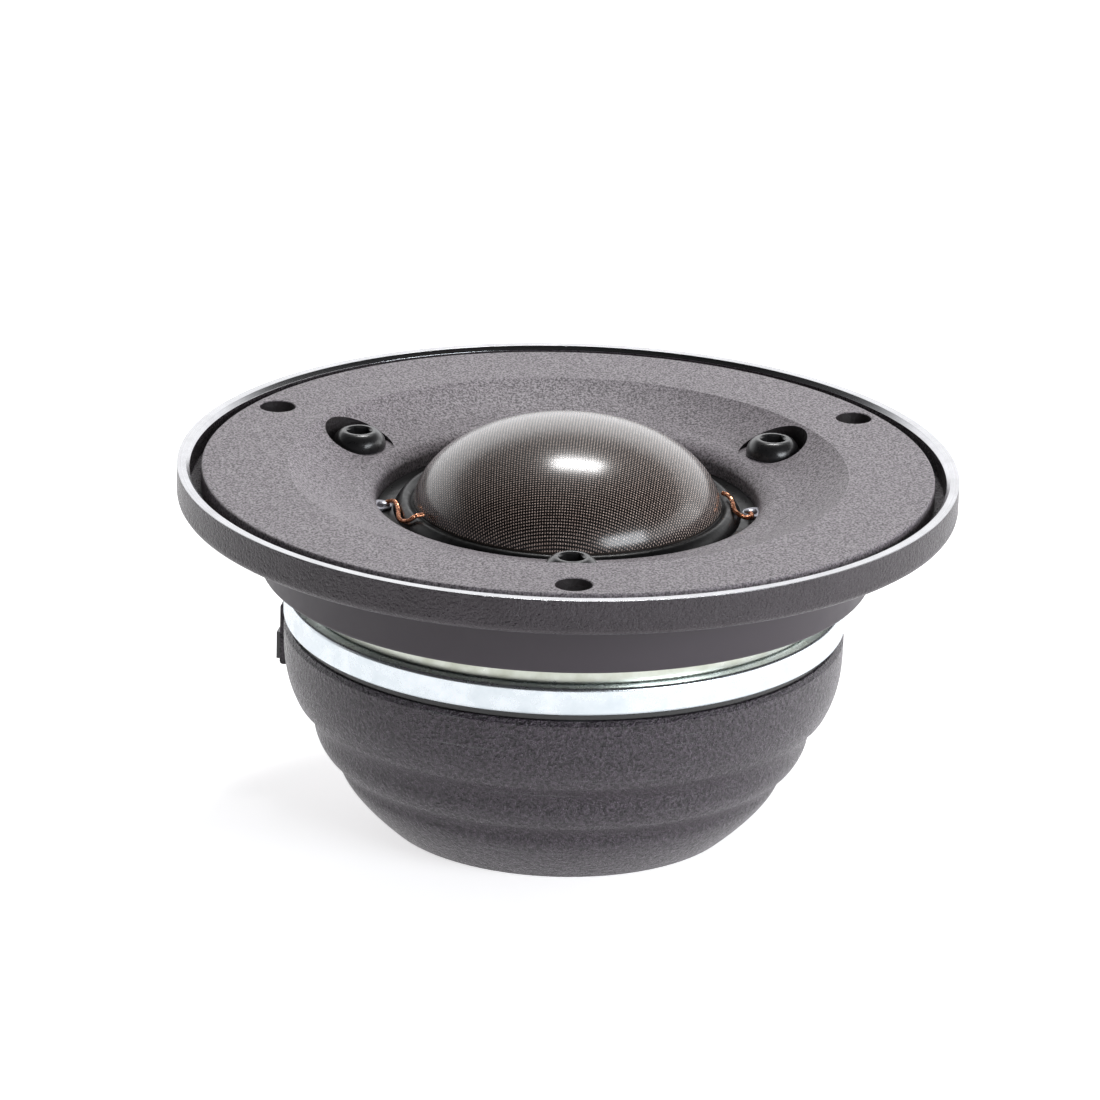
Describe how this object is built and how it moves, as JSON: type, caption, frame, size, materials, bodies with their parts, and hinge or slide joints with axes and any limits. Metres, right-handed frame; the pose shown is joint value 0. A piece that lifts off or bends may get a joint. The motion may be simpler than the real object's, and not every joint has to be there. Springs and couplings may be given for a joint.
{
  "type": "car tweeter",
  "caption": "Soft-dome tweeter with a shallow waveguide plate in a round screw-down flange, a ring-magnet motor and a stepped rear chamber.",
  "frame": {"origin": "centre of the rear cup's base, on the sound axis", "axes": "+Z along the sound axis, out of the dome; one of the mounting holes faces -Y"},
  "size_m": [0.0708, 0.0708, 0.0376],
  "materials": {
    "coated_flange": "coarse black powder coat with a bare machined face",
    "satin_black": "smooth satin black",
    "speckled_plate": "fine matt grey-black texture",
    "black_screw": "semi-gloss black oxide",
    "dome_cloth": "coated open weave",
    "surround_rubber": "glossy black",
    "former_film": "amber film",
    "copper": "enamelled and bare copper",
    "black_moulding": "black moulding",
    "tinned": "tinned brass",
    "zinc_plate": "pale yellow zinc plating",
    "nickel": "satin nickel plating",
    "bare_steel": "turned steel",
    "felt": "wool felt",
    "cup_coat": "leathery black coating",
    "foam": "open-cell foam",
    "red_insulation": "red insulation",
    "black_insulation": "black insulation"
  },
  "bodies": {
    "frame": {"flange_ring": "coated_flange", "collar": "satin_black", "face_plate": "speckled_plate", "face_screws": "black_screw", "surround": "surround_rubber", "diaphragm_ring": "black_moulding", "solder_tab_left": "tinned", "solder_tab_right": "tinned", "lead_left": "copper", "lead_right": "copper", "top_plate": "zinc_plate", "magnet": "nickel", "back_plate": "bare_steel", "pole_piece": "bare_steel", "copper_cap": "copper", "pole_felt": "felt", "chamber_gasket": "surround_rubber", "rear_cup": "cup_coat", "chamber_foam": "foam", "terminal_block": "black_moulding", "terminal_positive": "tinned", "terminal_negative": "tinned", "wire_positive": "red_insulation", "wire_negative": "black_insulation"},
    "diaphragm": {"dome": "dome_cloth", "coil_former": "former_film", "voice_coil": "copper"}
  },
  "joints": [
    {"name": "dome_travel", "type": "slide", "parent": "frame", "child": "diaphragm", "axis": [0, 0, 1], "range_m": [-0.0005, 0.0005], "stiffness_N_per_m": 400, "deforming": ["surround", "lead_left", "lead_right"]}
  ]
}
